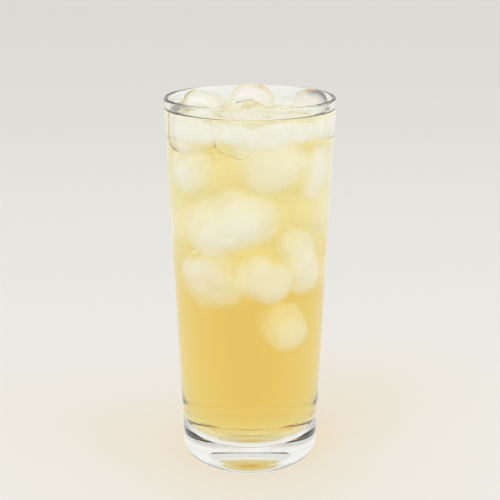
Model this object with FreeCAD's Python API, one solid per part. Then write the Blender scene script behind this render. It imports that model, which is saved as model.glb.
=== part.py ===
"""Tall tapered tumbler of iced green tea: a heavy-based glass, the tea that fills it, and the ice
cubes that float up through its surface. Millimetres, +Z up, origin at the centre of the foot, -Y
the side that faces the drinker."""

import FreeCAD, Part
import math
import os

Vector = FreeCAD.Vector

# --- Tumbler -------------------------------------------------------------------------------------
glass_height = 166.5
rim_radius = 37.0  # outside, at the lip
foot_radius = 30.7  # outside, where the side would meet the table if the heel were sharp
wall_at_rim = 1.9
wall_at_floor = 2.8
floor_thickness = 12.0
heel_radius = 6.5  # the rounded edge between the side and the underside
floor_corner_radius = 12.0  # inside, between the wall and the floor
floor_dish = 1.0  # the pressed floor is this much lower in its middle
punt_radius = 12.0  # the shallow hollow under the foot, inside its standing ring
punt_depth = 2.0
punt_edge_radius = 1.2

# --- Tea -----------------------------------------------------------------------------------------
headroom = 5.2  # from the lip down to the level of the tea
meniscus_rise = 1.6
meniscus_width = 2.6

# --- Ice that breaks the surface -----------------------------------------------------------------
melt_gap = 0.5  # tea or air left between two cubes that lie together
wall_gap = 1.2  # tea between a cube and the glass
cube_draft = 0.9  # a cube's small face as a share of its large one, as the tray leaves it
# Each cube: name, size across, along and up, corner rounding, bearing round the glass from +X, how
# far out its middle lies as a share of the inside radius, how far it stands above the tea, and its
# turn about the upright followed by its two tilts.
floating_cubes = [
    ("ice_back", (21.0, 20.0, 21.0), 7.4, 87, 0.32, 9.2, (4, -8, 6)),
    ("ice_left", (19.0, 19.0, 20.0), 6.0, 154, 0.67, 6.6, (164, -6, 9)),
    ("ice_near_left", (17.5, 17.0, 18.5), 5.2, 203, 0.69, 2.7, (198, 7, -8)),
    ("ice_front", (21.0, 20.0, 20.0), 5.0, 264, 0.40, 5.6, (28, 13, -9)),
    ("ice_right", (15.5, 18.0, 20.0), 5.6, 9, 0.74, 7.8, (6, -8, 6)),
    ("ice_back_right", (13.5, 15.0, 16.0), 4.0, 51, 0.71, 1.8, (52, 3, -3)),
]

# --- Worked out from the sizes above -------------------------------------------------------------
tea_level = glass_height - headroom
UP = Vector(0, 0, 1)


def outer_radius(z):
    """Radius of the tapered outside at height z."""
    return foot_radius + (rim_radius - foot_radius) * z / glass_height


def inner_radius(z):
    """Radius of the inside wall at height z; the wall thins evenly from the floor to the lip."""
    share = (z - floor_thickness) / (glass_height - floor_thickness)
    wall = wall_at_floor + (wall_at_rim - wall_at_floor) * share
    return outer_radius(z) - wall


def revolved(points):
    """Solid of revolution about Z from an outline of (radius, height) points."""
    corners = [Vector(r, 0, z) for r, z in points]
    face = Part.Face(Part.makePolygon(corners + corners[:1]))
    return face.revolve(Vector(0, 0, 0), UP, 360)


def spherical_cap(cap_radius, depth, z):
    """Shallow lens-shaped cap of that radius and depth, flat side down at height z."""
    ball_radius = (cap_radius**2 + depth**2) / (2 * depth)
    ball = Part.makeSphere(ball_radius, Vector(0, 0, z + depth - ball_radius))
    room = Part.makeCylinder(cap_radius, 2 * depth, Vector(0, 0, z))
    return ball.common(room)


def circles_at(shape, radius, z):
    """The round edges of a revolved shape with that radius and height."""
    found = []
    for edge in shape.Edges:
        if edge.Degenerated or not isinstance(edge.Curve, Part.Circle):
            continue
        curve = edge.Curve
        if abs(curve.Radius - radius) < 1e-3 and abs(curve.Center.z - z) < 1e-3:
            found.append(edge)
    return found


def make_cavity(top):
    """What the inside of the tumbler holds up to height top: tapered, round in its floor corner and
    dished in its floor. Glass and tea are both cut from it, so they meet face to face."""
    floor_radius = inner_radius(floor_thickness)
    outline = [(0, floor_thickness), (floor_radius, floor_thickness), (inner_radius(top), top), (0, top)]
    cavity = revolved(outline)
    cavity = cavity.makeFillet(floor_corner_radius, circles_at(cavity, floor_radius, floor_thickness))
    flat_radius = floor_radius - floor_corner_radius
    dish = spherical_cap(flat_radius, floor_dish, 0)
    dish.rotate(Vector(0, 0, 0), Vector(1, 0, 0), 180)
    dish.translate(Vector(0, 0, floor_thickness))
    return cavity.fuse(dish).removeSplitter()


def make_glass():
    """The tumbler: solid taper, rounded heel and lip, hollow inside and a punt under the foot."""
    body = revolved([(0, 0), (foot_radius, 0), (rim_radius, glass_height), (0, glass_height)])
    body = body.makeFillet(heel_radius, circles_at(body, foot_radius, 0))
    body = body.cut(spherical_cap(punt_radius, punt_depth, 0))
    body = body.makeFillet(punt_edge_radius, circles_at(body, punt_radius, 0))
    body = body.cut(make_cavity(glass_height))
    lip_edges = circles_at(body, rim_radius, glass_height)
    lip_edges += circles_at(body, inner_radius(glass_height), glass_height)
    return body.makeFillet(0.49 * wall_at_rim, lip_edges)


def make_air():
    """The space over the tea, with the edge that the meniscus leaves along the wall."""
    top = tea_level + meniscus_rise
    wall_radius = inner_radius(top)
    foot = Vector(wall_radius - meniscus_width, 0, tea_level)
    tip = Vector(wall_radius, 0, top)
    # The liquid leaves its level flat and climbs ever steeper, so the arc starts level at its foot.
    arc_radius = (meniscus_width**2 + meniscus_rise**2) / (2 * meniscus_rise)
    half_turn = 0.5 * math.asin(meniscus_width / arc_radius)
    middle = foot + Vector(arc_radius * math.sin(half_turn), 0, arc_radius * (1 - math.cos(half_turn)))
    edges = [
        Part.makeLine(Vector(0, 0, tea_level), foot),
        Part.Arc(foot, middle, tip).toShape(),
        Part.makeLine(tip, Vector(0, 0, top)),
        Part.makeLine(Vector(0, 0, top), Vector(0, 0, tea_level)),
    ]
    return Part.Face(Part.Wire(edges)).revolve(Vector(0, 0, 0), UP, 360)


def melted_cube(size, rounding):
    """An ice cube with drafted sides and its edges melted round, centred on the origin."""
    across, along, tall = size
    outlines = []
    for share, z in ((1.0, -tall / 2), (cube_draft, tall / 2)):
        x, y = share * across / 2, share * along / 2
        corners = [Vector(-x, -y, z), Vector(x, -y, z), Vector(x, y, z), Vector(-x, y, z)]
        outlines.append(Part.makePolygon(corners + corners[:1]))
    cube = Part.makeLoft(outlines, True, True)
    return cube.makeFillet(rounding, cube.Edges)


def float_cube(size, rounding, bearing, reach, standing, turns):
    """A melted cube, turned and tilted, with its middle at that bearing and reach and its highest
    point standing that far above the tea."""
    cube = melted_cube(size, rounding)
    for angle, axis in zip(turns, (UP, Vector(1, 0, 0), Vector(0, 1, 0))):
        cube.rotate(Vector(0, 0, 0), axis, angle)
    out = reach * inner_radius(tea_level)
    x = out * math.cos(math.radians(bearing))
    y = out * math.sin(math.radians(bearing))
    box = cube.optimalBoundingBox(False)
    cube.translate(Vector(x - box.Center.x, y - box.Center.y, tea_level + standing - box.ZMax))
    return cube


def melt_clear(cube, others):
    """Melts back whatever of a cube comes nearer than the gaps to the wall or to other cubes."""
    low, high = cube.BoundBox.ZMin - 1, cube.BoundBox.ZMax + 1
    outline = [(0, low), (inner_radius(low) - wall_gap, low), (inner_radius(high) - wall_gap, high)]
    room = revolved(outline + [(0, high)])
    if cube.cut(room).Volume > 0:
        cube = cube.common(room)
    for other in others:
        if cube.distToShape(other)[0] < melt_gap:
            box = other.BoundBox
            grown = other.copy()
            grown.scale(1 + 2 * melt_gap / min(box.XLength, box.YLength, box.ZLength), box.Center)
            cube = cube.cut(grown)
    return max(cube.Solids, key=lambda solid: solid.Volume)


def make_ice():
    """All floating cubes by name."""
    ice = {}
    for name, *placing in floating_cubes:
        ice[name] = melt_clear(float_cube(*placing), list(ice.values()))
    return ice


def make_tea(ice):
    """The tea: fills the tumbler up to its level, climbs the wall a little and lies round the ice."""
    tea = make_cavity(tea_level + meniscus_rise).cut(make_air())
    for cube in ice.values():
        tea = tea.cut(cube)
    return max(tea.Solids, key=lambda solid: solid.Volume)


def main():
    os.makedirs("parts", exist_ok=True)
    ice = make_ice()
    pieces = {"glass": make_glass(), "tea": make_tea(ice), **ice}
    for name, shape in pieces.items():
        solid = shape.Solids[0]
        print(f"{name}: {len(shape.Solids)} solid, valid {solid.isValid()}, {solid.Volume / 1000:.2f} ml")
        solid.exportStep(f"parts/{name}.step")


main()
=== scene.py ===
"""Glass of iced green tea: a tall clear tumbler, golden green tea up to just under its lip, and
melting ice, some floating through the surface and the rest packed in the upper half of the tea."""

import math

import bpy
from bpy.props import FloatProperty, FloatVectorProperty, IntProperty, PointerProperty
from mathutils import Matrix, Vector


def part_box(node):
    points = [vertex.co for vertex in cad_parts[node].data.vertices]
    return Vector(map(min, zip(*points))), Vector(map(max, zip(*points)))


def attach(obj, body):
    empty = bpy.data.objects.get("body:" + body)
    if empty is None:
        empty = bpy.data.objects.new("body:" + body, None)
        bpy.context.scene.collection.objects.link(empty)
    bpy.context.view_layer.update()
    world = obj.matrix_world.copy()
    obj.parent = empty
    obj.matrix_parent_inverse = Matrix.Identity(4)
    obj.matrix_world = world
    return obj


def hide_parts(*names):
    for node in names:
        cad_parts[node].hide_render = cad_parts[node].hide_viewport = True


bl_info = {
    "name": "Iced Green Tea",
    "version": (1, 0, 0),
    "blender": (4, 5, 0),
    "location": "View3D > Sidebar > Iced Tea",
    "description": "Fills a tall tumbler with green tea and melting ice",
    "category": "Add Mesh",
}

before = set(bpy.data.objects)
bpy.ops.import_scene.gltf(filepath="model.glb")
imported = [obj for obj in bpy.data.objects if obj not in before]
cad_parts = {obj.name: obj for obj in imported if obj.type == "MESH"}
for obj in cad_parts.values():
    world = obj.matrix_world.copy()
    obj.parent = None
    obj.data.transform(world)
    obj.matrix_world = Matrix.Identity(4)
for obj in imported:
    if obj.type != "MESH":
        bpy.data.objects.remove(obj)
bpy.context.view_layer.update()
MM = 0.001
LEVEL = 0.01 * MM  # heights that differ by less than this count as the same


def srgb(code):
    """Linear colour from an sRGB hex value."""
    channels = [int(code[i : i + 2], 16) / 255 for i in (1, 3, 5)]
    return tuple(c / 12.92 if c <= 0.04045 else ((c + 0.055) / 1.055) ** 2.4 for c in channels)


# --- Sizes and colours that a user would change ---------------------------------------------------


class TeaSettings(bpy.types.PropertyGroup):
    """The tea in the tumbler."""

    wall_overlap: FloatProperty(
        name="Overlap into wall",
        description="How far the tea reaches into the glass, so that no air gap shows",
        default=0.15 * MM,
        unit="LENGTH",
    )
    floor_radius: FloatProperty(
        name="Floor radius",
        description="Inside radius of the tumbler at its floor, before the corner is rounded",
        default=28.35 * MM,
        unit="LENGTH",
    )
    corner_radius: FloatProperty(
        name="Floor corner",
        description="Radius where the wall of the tumbler meets its floor",
        default=12.0 * MM,
        unit="LENGTH",
    )
    floor_dish: FloatProperty(
        name="Floor dish",
        description="How much lower the middle of the floor is than its edge",
        default=1.0 * MM,
        unit="LENGTH",
    )
    meniscus_rise: FloatProperty(
        name="Meniscus rise",
        description="How far the tea climbs the wall",
        default=1.6 * MM,
        unit="LENGTH",
    )
    meniscus_width: FloatProperty(
        name="Meniscus width",
        description="Width of the climbing edge of the tea",
        default=2.6 * MM,
        unit="LENGTH",
    )
    segments: IntProperty(
        name="Segments", description="Sides of the round shape", default=192, min=48
    )
    light_kept: FloatVectorProperty(
        name="Colour per depth",
        description="Light left after the tea has taken its share over one absorption length",
        subtype="COLOR",
        default=(0.99, 0.83, 0.06),
    )
    strength: FloatProperty(
        name="Strength by the ice",
        description="How strongly the tea absorbs where meltwater has thinned it, per metre",
        default=19.0,
    )
    layer_strength: FloatProperty(
        name="Strength of a layer",
        description="How much more strongly each deeper layer of the tea absorbs, per metre",
        default=12.0,
    )
    layer_waves: FloatProperty(
        name="Layer waves",
        description="Height of the waves in which the stronger tea lies under the thinned",
        default=14.0 * MM,
        unit="LENGTH",
    )


class IceSettings(bpy.types.PropertyGroup):
    """The ice, floating and sunk."""

    cube_size: FloatProperty(
        name="Cube size", description="Side of a fresh cube", default=22 * MM, unit="LENGTH"
    )
    draft: FloatProperty(
        name="Draft",
        description="Small face of a cube as a share of its large one",
        default=0.9,
        subtype="FACTOR",
    )
    melted_edge: FloatProperty(
        name="Melted edge",
        description="Width of the rounding that melting leaves along the edges",
        default=7.4 * MM,
        unit="LENGTH",
    )
    roundness: FloatProperty(
        name="Roundness",
        description="How far melting has turned the cube towards a ball",
        default=0.45,
        subtype="FACTOR",
    )
    hollow: FloatProperty(
        name="Hollow", description="Depth of the hollow in the top", default=1.4 * MM, unit="LENGTH"
    )
    unevenness: FloatProperty(
        name="Unevenness",
        description="How far melting has eaten into the faces",
        default=2.2 * MM,
        unit="LENGTH",
    )
    cloud: FloatVectorProperty(
        name="Cloudy core",
        description="Colour of the air-filled middle of a cube",
        subtype="COLOR",
        default=srgb("#FCFCFB"),
    )


class StageSettings(bpy.types.PropertyGroup):
    """Camera, floor and light."""

    camera_distance: FloatProperty(
        name="Camera distance",
        description="From the axis of the tumbler, along the floor",
        default=439.4 * MM,
        unit="LENGTH",
    )
    camera_height: FloatProperty(
        name="Camera height", description="Above the floor", default=230.4 * MM, unit="LENGTH"
    )
    camera_pitch: FloatProperty(
        name="Camera pitch",
        description="How far the camera looks down",
        default=math.radians(16.82),
        subtype="ANGLE",
    )
    camera_lens: FloatProperty(name="Lens", description="Focal length in mm", default=73.8)
    floor: FloatVectorProperty(
        name="Floor", description="Colour of the floor", subtype="COLOR", default=srgb("#F4F3EF")
    )


# --- Helpers --------------------------------------------------------------------------------------


def add_node(material, kind, inputs=None, **settings):
    """Adds a node with its settings; an input given a socket is linked to it."""
    tree = material.node_tree
    node = tree.nodes.new(kind)
    for name, value in settings.items():
        setattr(node, name, value)
    for name, value in (inputs or {}).items():
        if isinstance(value, bpy.types.NodeSocket):
            tree.links.new(value, node.inputs[name])
        else:
            node.inputs[name].default_value = value
    return node


def add_math(material, operation, first, second):
    """Adds a Math node on two values or sockets and gives its result."""
    node = add_node(material, "ShaderNodeMath", {0: first, 1: second}, operation=operation)
    return node.outputs[0]


def new_material(name):
    """Empty node material and its output node."""
    material = bpy.data.materials.new(name)
    material.use_nodes = True
    material.node_tree.nodes.clear()
    return material, add_node(material, "ShaderNodeOutputMaterial")


def let_light_through(material, output, clear_shader):
    """Shows clear_shader, but lets the light of lamps, and light on its way between matt surfaces,
    pass straight through, as thin clear walls do."""
    tree = material.node_tree
    path = add_node(material, "ShaderNodeLightPath")
    passing = add_math(
        material, "MAXIMUM", path.outputs["Is Shadow Ray"], path.outputs["Is Diffuse Ray"]
    )
    through = add_node(material, "ShaderNodeBsdfTransparent")
    mix = add_node(material, "ShaderNodeMixShader", {0: passing})
    tree.links.new(clear_shader.outputs[0], mix.inputs[1])
    tree.links.new(through.outputs[0], mix.inputs[2])
    tree.links.new(mix.outputs[0], output.inputs["Surface"])


def start_piece(name):
    """Names the primitive just added and opens it for editing."""
    piece = bpy.context.object
    piece.name = name
    piece.data.name = name
    bpy.ops.object.mode_set(mode="EDIT")
    return piece


def select_faces(piece, wanted):
    """Selects, in edit mode, the faces for which wanted(centre, normal) holds."""
    bpy.ops.mesh.select_mode(type="FACE")
    bpy.ops.mesh.select_all(action="DESELECT")
    bpy.ops.object.mode_set(mode="OBJECT")
    for face in piece.data.polygons:
        face.select = wanted(face.center, face.normal)
    bpy.ops.object.mode_set(mode="EDIT")


def select_edges(piece, wanted):
    """Selects, in edit mode, the edges for which wanted(end, other end) holds."""
    bpy.ops.mesh.select_mode(type="EDGE")
    bpy.ops.mesh.select_all(action="DESELECT")
    bpy.ops.object.mode_set(mode="OBJECT")
    points = piece.data.vertices
    for edge in piece.data.edges:
        edge.select = wanted(points[edge.vertices[0]].co, points[edge.vertices[1]].co)
    bpy.ops.object.mode_set(mode="EDIT")


def only(piece):
    """Leaves piece alone selected and active."""
    bpy.ops.object.select_all(action="DESELECT")
    piece.select_set(True)
    bpy.context.view_layer.objects.active = piece


def apply_modifier(piece, kind, **settings):
    """Adds a modifier with its settings and applies it."""
    only(piece)
    modifier = piece.modifiers.new(kind.title(), kind)
    for name, value in settings.items():
        setattr(modifier, name, value)
    bpy.ops.object.modifier_apply(modifier=modifier.name)


# --- Materials ------------------------------------------------------------------------------------


def soda_lime_glass():
    """Soda-lime glass, pressed and fire-polished: clear and mirror smooth, with the faint long
    waves of the mould and a trace of green in its thick foot."""
    material, output = new_material("soda-lime glass, fire-polished")
    coords = add_node(material, "ShaderNodeTexCoord")
    # Mould waves are 15 to 30 mm long and too shallow to see except where they bend an edge.
    waves = add_node(
        material,
        "ShaderNodeTexNoise",
        {"Vector": coords.outputs["Object"], "Scale": 45.0, "Detail": 1.0},
    )
    bump = add_node(
        material,
        "ShaderNodeBump",
        {"Height": waves.outputs["Fac"], "Strength": 0.04, "Distance": 0.5 * MM},
    )
    glass = add_node(
        material,
        "ShaderNodeBsdfPrincipled",
        {
            "Base Color": (*srgb("#FAFDFB"), 1),
            "Roughness": 0.0,
            "IOR": 1.5,
            "Transmission Weight": 1.0,
            "Normal": bump.outputs["Normal"],
        },
    )
    let_light_through(material, output, glass)
    return material


def green_tea(settings):
    """Brewed green tea, strained and clear: it takes blue from light first and then green, so a
    thin layer is pale straw and the full width of the glass is gold."""
    material, output = new_material("brewed green tea, clear")
    coords = add_node(material, "ShaderNodeTexCoord")
    # Meltwater lies in slow wavy layers on the surface, a centimetre or so apart.
    swirl = add_node(
        material,
        "ShaderNodeTexNoise",
        {"Vector": coords.outputs["Object"], "Scale": 110.0, "Detail": 2.0},
    )
    bump = add_node(
        material,
        "ShaderNodeBump",
        {"Height": swirl.outputs["Fac"], "Strength": 0.1, "Distance": 0.3 * MM},
    )
    tea = add_node(
        material,
        "ShaderNodeBsdfPrincipled",
        {
            "Base Color": (1, 1, 1, 1),
            "Roughness": 0.0,
            "IOR": 1.333,
            "Transmission Weight": 1.0,
            "Normal": bump.outputs["Normal"],
        },
    )
    let_light_through(material, output, tea)
    depth = add_node(
        material,
        "ShaderNodeVolumeAbsorption",
        {"Color": (*settings.light_kept, 1), "Density": settings.strength},
    )
    material.node_tree.links.new(depth.outputs[0], output.inputs["Volume"])
    return material


def strong_tea(settings):
    """The same brew below the ice, where no meltwater has mixed in. Only its colour differs from
    the tea round it, so its surface neither bends nor reflects light."""
    material, output = new_material("brewed green tea, unthinned")
    coords = add_node(material, "ShaderNodeTexCoord")
    # A few hundredths of colour variation, as leaf dust drifts in bands a centimetre wide.
    drift = add_node(
        material,
        "ShaderNodeTexNoise",
        {"Vector": coords.outputs["Object"], "Scale": 90.0, "Detail": 1.0},
    )
    tint = add_node(
        material,
        "ShaderNodeMix",
        {"Factor": drift.outputs["Fac"], "A": (1, 1, 1, 1), "B": (*srgb("#FFFEFA"), 1)},
        data_type="RGBA",
    )
    tea = add_node(
        material,
        "ShaderNodeBsdfPrincipled",
        {
            "Base Color": tint.outputs["Result"],
            "Roughness": 0.0,
            "IOR": 1.0,
            "Transmission Weight": 1.0,
        },
    )
    let_light_through(material, output, tea)
    depth = add_node(
        material,
        "ShaderNodeVolumeAbsorption",
        {"Color": (*settings.light_kept, 1), "Density": settings.layer_strength},
    )
    material.node_tree.links.new(depth.outputs[0], output.inputs["Volume"])
    return material


def melting_ice(name, settings, in_air, cloud_source, low, high):
    """Tray ice, half melted: clear where it froze first, along the faces' edges and corners, and
    clouded by fine air bubbles in the middle. cloud_source gives each point's distance from the
    middle of its cube, and the cloud fades out from low to high. It also thins towards the outline
    of the cube, where light crosses little of it, and light leaves the cube freely. Ice in air
    gleams and bends light; sunk in tea, which bends light as much, it shows only its cloud."""
    material, output = new_material(name)
    coords = add_node(material, "ShaderNodeTexCoord")
    distance = cloud_source(material, coords)
    # Feathers of bubbles reach out of the cloud, 3 to 6 mm long.
    feather = 0.3 * (high - low)
    feathers = add_node(
        material,
        "ShaderNodeTexNoise",
        {"Vector": coords.outputs["Object"], "Scale": 110.0, "Detail": 3.0, "Roughness": 0.5},
    )
    uneven = add_node(
        material,
        "ShaderNodeMath",
        {0: feathers.outputs["Fac"], 1: feather, 2: distance},
        operation="MULTIPLY_ADD",
    )
    cloud = add_node(
        material,
        "ShaderNodeMapRange",
        {
            "Value": uneven.outputs[0],
            "From Min": low + feather / 2,
            "From Max": high + feather / 2,
            "To Min": 0.97,
            "To Max": 0.1,
        },
        interpolation_type="SMOOTHSTEP",
    )
    edge = add_node(material, "ShaderNodeLayerWeight", {"Blend": 0.5})
    depth = add_node(
        material,
        "ShaderNodeMapRange",
        {
            "Value": edge.outputs["Facing"],
            "From Min": 0.0,
            "From Max": 0.85,
            "To Min": 1,
            "To Max": 0,
        },
        interpolation_type="SMOOTHSTEP",
    )
    side = add_node(material, "ShaderNodeNewGeometry")
    entering = add_math(material, "SUBTRACT", 1.0, side.outputs["Backfacing"])
    inward = add_math(material, "MULTIPLY", depth.outputs[0], entering)
    crossed = add_math(material, "MULTIPLY", cloud.outputs[0], inward)
    clearness = add_math(material, "SUBTRACT", 1.0, crossed)
    # The wet surface is dimpled where melting has run ahead, every 2 to 4 mm.
    dimples = add_node(
        material,
        "ShaderNodeTexNoise",
        {"Vector": coords.outputs["Object"], "Scale": 320.0, "Detail": 2.0},
    )
    bump = add_node(
        material,
        "ShaderNodeBump",
        {"Height": dimples.outputs["Fac"], "Strength": 0.25 * in_air, "Distance": 0.3 * MM},
    )
    if in_air:
        clear_part = {"IOR": 1.31, "Transmission Weight": clearness}
    else:
        clear_part = {"IOR": 1.0, "Alpha": crossed}
    ice = add_node(
        material,
        "ShaderNodeBsdfPrincipled",
        {
            "Base Color": (*settings.cloud, 1),
            "Roughness": 0.08,
            "Normal": bump.outputs["Normal"],
            **clear_part,
        },
    )
    let_light_through(material, output, ice)
    return material


# --- Pieces ---------------------------------------------------------------------------------------


class TEA_OT_glass(bpy.types.Operator):
    """Gives the tumbler its glass"""

    bl_idname = "tea.glass"
    bl_label = "Tumbler"

    def execute(self, context):
        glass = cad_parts["glass"]
        glass.data.materials.clear()
        glass.data.materials.append(soda_lime_glass())
        return {"FINISHED"}


POCKET_DETAIL = 0.6 * MM  # size of the smallest feature in the pockets round the floating cubes

# Bodies of stronger tea: name, height of the top, and how many overlaps it stays inside the glass.
# They lie one inside the other, so that no two of their walls coincide.
LAYERS = (("tea_layer_middle", 100 * MM, 2), ("tea_layer_low", 84 * MM, 4))

# The climbing edge of the tea, from the wall inwards: steps as shares of its width and its rise.
CLIMBING_EDGE = ((0.06, 0.36), (0.12, 0.28), (0.2, 0.2), (0.27, 0.12), (0.35, 0.04))


class TEA_OT_tea(bpy.types.Operator):
    """Fills the tumbler with tea that lies round the floating ice"""

    bl_idname = "tea.tea"
    bl_label = "Tea"

    def execute(self, context):
        sizes = context.scene.iced_tea
        tea = self.body("tea_fill", sizes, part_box("tea")[1].z, sizes.wall_overlap)
        # The climbing edge: a steep lip of liquid that runs out level towards the middle.
        bpy.ops.object.mode_set(mode="EDIT")
        for width_share, drop_share in CLIMBING_EDGE:
            bpy.ops.mesh.inset(thickness=sizes.meniscus_width * width_share)
            bpy.ops.transform.translate(value=(0, 0, -sizes.meniscus_rise * drop_share))
        bpy.ops.object.mode_set(mode="OBJECT")
        self.cut_pockets(tea, sizes.wall_overlap)
        only(tea)
        bpy.ops.object.shade_smooth_by_angle(angle=math.radians(40))
        tea.data.materials.clear()
        tea.data.materials.append(green_tea(sizes))
        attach(tea, "root")
        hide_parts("tea")
        for name, top, overlaps in LAYERS:
            self.layer(name, sizes, top, overlaps * sizes.wall_overlap)
        return {"FINISHED"}

    def body(self, name, sizes, top, grow):
        """What fills the tumbler up to height top: tapered, round in its floor corner and dished
        in its floor. It is larger than the inside of the glass by grow, and its top is left
        selected."""
        low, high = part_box("tea")
        foot = low.z + sizes.floor_dish
        slope = (high.x - sizes.floor_radius) / (high.z - foot)
        top_radius = sizes.floor_radius + slope * (top - foot)
        bpy.ops.object.select_all(action="DESELECT")
        bpy.ops.mesh.primitive_cylinder_add(
            vertices=sizes.segments,
            radius=sizes.floor_radius + grow,
            depth=top - foot + grow,
            location=(0, 0, (top + foot - grow) / 2),
            end_fill_type="NGON",
        )
        bpy.ops.object.transform_apply(location=True)
        piece = start_piece(name)
        select_faces(piece, lambda centre, normal: normal.z > 0.9)
        widen = (top_radius + grow) / (sizes.floor_radius + grow)
        bpy.ops.transform.resize(value=(widen, widen, 1), center_override=(0, 0, top))
        # Round floor corner. The wall leans out, so the rounding starts nearer than its radius.
        reach = sizes.corner_radius * math.tan((math.pi / 2 - math.atan(slope)) / 2)
        floor = foot - grow + LEVEL
        select_edges(piece, lambda a, b: a.z < floor and b.z < floor)
        bpy.ops.mesh.bevel(offset=reach, segments=20, profile=0.5)
        # Dished floor: rings inset and lowered on a shallow curve.
        select_faces(piece, lambda centre, normal: normal.z < -0.99 and centre.z < floor)
        rings = 6
        for ring in range(rings):
            bpy.ops.mesh.inset(thickness=(sizes.floor_radius - reach) / (rings + 1))
            step = (2 * (rings - ring) - 1) / rings**2
            bpy.ops.transform.translate(value=(0, 0, -sizes.floor_dish * step))
        select_faces(piece, lambda centre, normal: normal.z > 0.99 and centre.z > top - LEVEL)
        bpy.ops.object.mode_set(mode="OBJECT")
        return piece

    def layer(self, name, sizes, top, inset):
        """A body of stronger tea in the depth of the glass, with a wavy top. It bends no light: the
        tea round it is the same liquid, only with more meltwater in it."""
        layer = self.body(name, sizes, top, -inset)
        bpy.ops.object.mode_set(mode="EDIT")
        # Rings over the top give the waves something to bend.
        rings = 8
        for _ in range(rings):
            bpy.ops.mesh.inset(thickness=sizes.floor_radius / (rings + 1))
        bpy.ops.object.mode_set(mode="OBJECT")
        surface = layer.vertex_groups.new(name="surface")
        surface.add([p.index for p in layer.data.vertices if p.co.z > top - LEVEL], 1, "ADD")
        waves = bpy.data.textures.new("layer waves", "CLOUDS")
        waves.noise_scale = 22 * MM
        waves.noise_depth = 0
        apply_modifier(
            layer,
            "DISPLACE",
            texture=waves,
            texture_coords="LOCAL",
            direction="Z",
            vertex_group="surface",
            strength=sizes.layer_waves,
            mid_level=0.5,
        )
        layer.data.materials.clear()
        layer.data.materials.append(strong_tea(sizes))
        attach(layer, "root")

    def cut_pockets(self, tea, grow):
        """Hollows the tea round each floating cube, a touch smaller than the cube, so that the two
        overlap and no air shows between them."""
        for name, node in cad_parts.items():
            if not name.startswith("ice_"):
                continue
            only(node)
            bpy.ops.object.duplicate()
            cutter = bpy.context.object
            cutter.parent = None
            bpy.ops.object.mode_set(mode="EDIT")
            bpy.ops.mesh.select_all(action="SELECT")
            bpy.ops.mesh.remove_doubles(threshold=LEVEL)
            bpy.ops.object.mode_set(mode="OBJECT")
            apply_modifier(cutter, "REMESH", mode="VOXEL", voxel_size=POCKET_DETAIL)
            bpy.ops.object.mode_set(mode="EDIT")
            bpy.ops.mesh.select_all(action="SELECT")
            bpy.ops.transform.shrink_fatten(value=-grow)
            bpy.ops.object.mode_set(mode="OBJECT")
            apply_modifier(tea, "BOOLEAN", object=cutter, operation="DIFFERENCE", solver="EXACT")
            bpy.data.objects.remove(cutter)


# How far from the middle of a cube its cloud starts to fade and ends: in metres in a floating cube,
# and as shares of a fresh cube's side in a sunk one.
FLOATING_CLOUD = (7 * MM, 15 * MM)
SUNK_CLOUD = (0.38, 0.8)


class TEA_OT_floating_ice(bpy.types.Operator):
    """Gives the cubes that break the surface their melting ice"""

    bl_idname = "tea.floating_ice"
    bl_label = "Floating Ice"

    def execute(self, context):
        settings = context.scene.iced_ice
        for name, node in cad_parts.items():
            if not name.startswith("ice_"):
                continue
            low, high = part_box(name)
            centre = (low + high) / 2

            def from_centre(material, coords):
                """Distance from the middle of the node's box."""
                moved = add_node(
                    material,
                    "ShaderNodeMapping",
                    {"Vector": coords.outputs["Object"], "Location": -centre},
                )
                length = add_node(
                    material,
                    "ShaderNodeVectorMath",
                    {0: moved.outputs[0]},
                    operation="LENGTH",
                )
                return length.outputs["Value"]

            material = melting_ice(
                f"melting tray ice, {name}", settings, True, from_centre, *FLOATING_CLOUD
            )
            node.data.materials.clear()
            node.data.materials.append(material)
        return {"FINISHED"}


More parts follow.
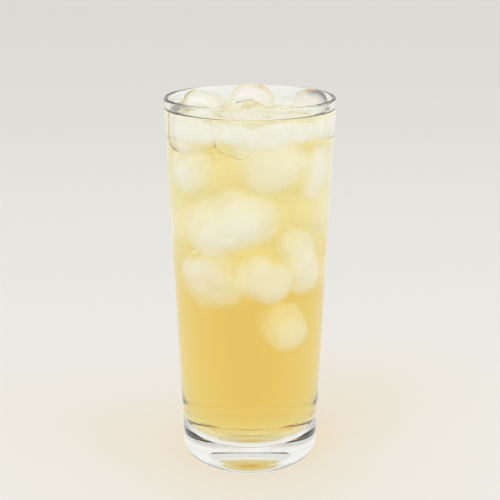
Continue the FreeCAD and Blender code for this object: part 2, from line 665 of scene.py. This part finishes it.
# Each sunk cube: where its middle lies in mm, its size across, along and up as shares of a fresh
# cube, and its clockwise turns about X, Y and Z in degrees.
SUNK_CUBES = [
    # Slush of broken pieces just under the surface.
    ((-22.3, -18.5, 154.8), (0.98, 0.42, 0.5), (3, 4, 47)),
    ((-13.2, -25.2, 155.4), (0.75, 0.42, 0.46), (6, 8, 32)),
    ((-3.6, -27.6, 155), (0.7, 0.4, 0.44), (-5, -6, 2)),
    ((6.5, -27.6, 154.2), (0.8, 0.37, 0.54), (-4, 6, -8)),
    ((14.8, -24.4, 155.2), (0.75, 0.44, 0.46), (5, -8, -38)),
    ((22, -18.6, 155), (0.9, 0.42, 0.46), (2, 6, -52)),
    ((27.8, -8.6, 154.6), (0.75, 0.4, 0.5), (3, 3, -74)),
    ((15, -13.5, 155.6), (0.85, 0.75, 0.42), (6, 4, 25)),
    ((14, 0.5, 154.8), (0.34, 0.55, 0.5), (10, 6, -12)),
    ((-5, -0.5, 154.8), (0.34, 0.3, 0.42), (15, 10, 30)),
    ((-3.5, 26.5, 154.8), (0.8, 0.46, 0.5), (8, 6, -10)),
    ((10.5, 26.6, 155), (0.5, 0.44, 0.42), (10, -10, 25)),
    # Against the near wall, from there down.
    ((8, -14, 141), (1.3, 1.1, 1.25), (18, 30, 10)),
    ((25, -7.7, 135), (0.6, 0.95, 1.2), (8, -8, 10)),
    ((-21.4, -10.4, 137.4), (0.82, 0.84, 0.9), (-10, 8, -26)),
    ((-8.6, -14.3, 115), (1.6, 1.15, 1.4), (38, 30, 20)),
    ((0.5, -16, 119), (1.1, 0.95, 1.0), (10, -20, 40)),
    ((-13.6, -11.7, 89.6), (1.2, 1.0, 1.35), (-25, 20, 35)),
    ((17.6, -9.5, 97), (0.85, 0.95, 1.45), (5, 12, -15)),
    ((5, -17, 91), (1.15, 0.85, 1.0), (12, -20, 5)),
    ((12, -11, 67.6), (0.9, 0.85, 1.1), (18, 12, -30)),
    # Behind them.
    ((18.3, 16.3, 148), (0.8, 0.8, 0.8), (12, -8, 40)),
    ((-14, 19, 146), (0.95, 0.9, 0.9), (-8, 12, 20)),
    ((14, 13, 132), (1.05, 1.0, 1.0), (30, 5, 20)),
    ((-10, 12, 130), (1.15, 1.05, 1.1), (-10, 25, -35)),
    ((-16.2, 10.8, 108), (1.0, 1.0, 1.0), (15, -30, 10)),
    ((7, 14, 110), (1.1, 1.0, 1.05), (-20, 15, 45)),
    ((21.1, 7.4, 116), (0.8, 0.85, 0.9), (25, 0, 15)),
    ((1, 11, 90), (1.0, 0.95, 0.9), (35, 20, 0)),
    ((17, 10, 86), (0.9, 0.9, 0.9), (-15, -20, 40)),
]


class TEA_OT_sunk_ice(bpy.types.Operator):
    """Packs melting cubes in the upper half of the tea"""

    bl_idname = "tea.sunk_ice"
    bl_label = "Sunk Ice"

    def execute(self, context):
        settings = context.scene.iced_ice
        cube = self.model_cube(settings)
        copies = [self.place(cube, settings, *placing) for placing in SUNK_CUBES]
        bpy.data.objects.remove(cube)
        bpy.ops.object.select_all(action="DESELECT")
        for copy in copies:
            copy.select_set(True)
        bpy.context.view_layer.objects.active = copies[0]
        bpy.ops.object.join()
        ice = bpy.context.object
        ice.name = ice.data.name = "sunk_ice"
        bpy.ops.object.transform_apply(location=True, rotation=True, scale=True)
        self.melt(ice, settings)

        def from_attribute(material, coords):
            """Distance that the model cube stored, which the copies keep."""
            stored = add_node(material, "ShaderNodeAttribute", attribute_name="from_middle")
            return stored.outputs["Fac"]

        ice.data.materials.clear()
        ice.data.materials.append(
            melting_ice("melting tray ice, sunk", settings, False, from_attribute, *SUNK_CLOUD)
        )
        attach(ice, "root")
        return {"FINISHED"}

    def model_cube(self, settings):
        """One cube as the tray leaves it, with melted edges and a hollow top. A point attribute
        keeps how far each point lies from the middle, as a share of the cube's side."""
        side = settings.cube_size
        bpy.ops.object.select_all(action="DESELECT")
        bpy.ops.mesh.primitive_cube_add(size=side)
        cube = start_piece("fresh_cube")
        select_faces(cube, lambda centre, normal: normal.z > 0.9)
        bpy.ops.transform.resize(value=(settings.draft, settings.draft, 1))
        bpy.ops.mesh.select_all(action="SELECT")
        bpy.ops.mesh.bevel(offset=settings.melted_edge, segments=3, affect="EDGES")
        bpy.ops.mesh.select_all(action="SELECT")
        bpy.ops.transform.tosphere(value=settings.roundness)
        select_faces(cube, lambda centre, normal: normal.z > 0.99)
        bpy.ops.mesh.inset(thickness=0.1 * side)
        bpy.ops.transform.translate(value=(0, 0, -settings.hollow))
        bpy.ops.object.mode_set(mode="OBJECT")
        apply_modifier(cube, "SUBSURF", levels=2, render_levels=2)
        store = cube.data.attributes.new("from_middle", "FLOAT", "POINT")
        for point in cube.data.vertices:
            store.data[point.index].value = point.co.length / side
        return cube

    def place(self, cube, settings, middle, size, turns):
        """A copy of the cube with its own mesh, sized, turned and moved to its place."""
        only(cube)
        bpy.ops.object.duplicate()
        bpy.ops.transform.resize(value=size, center_override=(0, 0, 0))
        # A positive turn entered by hand goes clockwise, seen from the end of its axis.
        for angle, axis in zip(turns, "XYZ"):
            bpy.ops.transform.rotate(
                value=math.radians(angle), orient_axis=axis, center_override=(0, 0, 0)
            )
        bpy.ops.transform.translate(value=[c * MM for c in middle])
        bpy.ops.object.transform_apply(location=True, rotation=True, scale=True)
        return bpy.context.object

    def melt(self, ice, settings):
        """Melting eats the faces unevenly: broad hollows about 12 mm across, then small dimples."""
        for width, depth in ((12 * MM, settings.unevenness), (4 * MM, 0.25 * settings.unevenness)):
            texture = bpy.data.textures.new("melt", "CLOUDS")
            texture.noise_scale = width
            texture.noise_depth = 1
            apply_modifier(
                ice,
                "DISPLACE",
                texture=texture,
                texture_coords="LOCAL",
                strength=depth,
                mid_level=0.5,
            )
        only(ice)
        bpy.ops.object.shade_smooth()


# Each lamp: name, place in metres, side of its square in metres and power in watts.
LAMPS = (("key", (-0.55, -0.55, 0.95), 0.6, 2.2), ("fill", (0.75, -0.25, 0.6), 0.5, 1.0))

# Sight lines cross up to a dozen clear walls each way, so light paths are allowed this many steps.
LONGEST_PATH = 32


class TEA_OT_stage(bpy.types.Operator):
    """Adds the pale floor, the soft light and the camera"""

    bl_idname = "tea.stage"
    bl_label = "Stage"

    def execute(self, context):
        stage = context.scene.iced_stage
        self.floor(stage)
        self.world()
        for lamp in LAMPS:
            self.lamp(*lamp)
        self.camera(context, stage)
        context.scene.view_settings.view_transform = "Standard"
        paths = context.scene.cycles
        paths.max_bounces = paths.transmission_bounces = LONGEST_PATH
        paths.transparent_max_bounces = LONGEST_PATH
        return {"FINISHED"}

    def floor(self, stage):
        """A matt floor that runs out of sight."""
        bpy.ops.object.select_all(action="DESELECT")
        bpy.ops.mesh.primitive_circle_add(vertices=96, radius=12, fill_type="NGON")
        floor = bpy.context.object
        floor.name = "stage_floor"
        material, output = new_material("studio floor, matt paint")
        coords = add_node(material, "ShaderNodeTexCoord")
        grain = add_node(
            material,
            "ShaderNodeTexNoise",
            {"Vector": coords.outputs["Object"], "Scale": 400.0, "Detail": 2.0},
        )
        bump = add_node(
            material,
            "ShaderNodeBump",
            {"Height": grain.outputs["Fac"], "Strength": 0.05, "Distance": 0.1 * MM},
        )
        paint = add_node(
            material,
            "ShaderNodeBsdfPrincipled",
            {
                "Base Color": (*stage.floor, 1),
                "Roughness": 0.8,
                "Normal": bump.outputs["Normal"],
            },
        )
        # What glass and liquid show of the floor is its plain pale colour.
        path = add_node(material, "ShaderNodeLightPath")
        through = add_math(
            material, "MAXIMUM", path.outputs["Is Transmission Ray"], path.outputs["Is Glossy Ray"]
        )
        plain = add_node(
            material, "ShaderNodeEmission", {"Color": (*stage.floor, 1), "Strength": 1.0}
        )
        shown = add_node(material, "ShaderNodeMixShader", {0: through})
        links = material.node_tree.links
        links.new(paint.outputs[0], shown.inputs[1])
        links.new(plain.outputs[0], shown.inputs[2])
        links.new(shown.outputs[0], output.inputs["Surface"])
        floor.data.materials.append(material)

    def world(self):
        """Soft even light from all round. It is found by rays that bounce or pass through glass, so
        its light through the drink is counted once."""
        world = bpy.data.worlds.new("soft studio")
        bpy.context.scene.world = world
        world.use_nodes = True
        world.node_tree.nodes.clear()
        output = add_node(world, "ShaderNodeOutputWorld")
        light = add_node(
            world, "ShaderNodeBackground", {"Color": (*srgb("#FDFCFA"), 1), "Strength": 0.8}
        )
        world.node_tree.links.new(light.outputs[0], output.inputs["Surface"])
        world.cycles.sampling_method = "NONE"

    def lamp(self, name, place, size, power):
        """A soft square lamp aimed at the drink."""
        bpy.ops.object.light_add(type="AREA", location=place)
        lamp = bpy.context.object
        lamp.name = f"lamp_{name}"
        lamp.data.shape = "SQUARE"
        lamp.data.size = size
        lamp.data.energy = power
        middle_of_drink = Vector((0, 0, 80 * MM))
        aim = middle_of_drink - Vector(place)
        lamp.rotation_euler = aim.to_track_quat("-Z", "Y").to_euler()
        lamp.visible_transmission = False

    def camera(self, context, stage):
        """The camera, in front of the drink and a little above it."""
        pitch = math.pi / 2 - stage.camera_pitch
        bpy.ops.object.camera_add(
            location=(0, -stage.camera_distance, stage.camera_height), rotation=(pitch, 0, 0)
        )
        camera = bpy.context.object
        camera.data.lens = stage.camera_lens
        camera.data.sensor_width = 36
        camera.data.clip_start = 0.01
        context.scene.camera = camera


# --- Panel and registration -----------------------------------------------------------------------

OPERATORS = (TEA_OT_glass, TEA_OT_tea, TEA_OT_floating_ice, TEA_OT_sunk_ice, TEA_OT_stage)
SETTINGS = {"iced_tea": TeaSettings, "iced_ice": IceSettings, "iced_stage": StageSettings}


class TEA_PT_panel(bpy.types.Panel):
    """Lists the pieces of the drink"""

    bl_idname = "TEA_PT_panel"
    bl_label = "Iced Green Tea"
    bl_space_type = "VIEW_3D"
    bl_region_type = "UI"
    bl_category = "Iced Tea"

    def draw(self, context):
        for name, group in SETTINGS.items():
            box = self.layout.box()
            for prop in group.__annotations__:
                box.prop(getattr(context.scene, name), prop)
        for operator in OPERATORS:
            self.layout.operator(operator.bl_idname)


def register():
    for cls in (*SETTINGS.values(), *OPERATORS, TEA_PT_panel):
        bpy.utils.register_class(cls)
    for name, group in SETTINGS.items():
        setattr(bpy.types.Scene, name, PointerProperty(type=group))


def unregister():
    for name in SETTINGS:
        delattr(bpy.types.Scene, name)
    for cls in reversed((*SETTINGS.values(), *OPERATORS, TEA_PT_panel)):
        bpy.utils.unregister_class(cls)


def main():
    register()
    bpy.ops.tea.glass()
    bpy.ops.tea.tea()
    bpy.ops.tea.floating_ice()
    bpy.ops.tea.sunk_ice()
    bpy.ops.tea.stage()


if __name__ == "__main__":
    main()
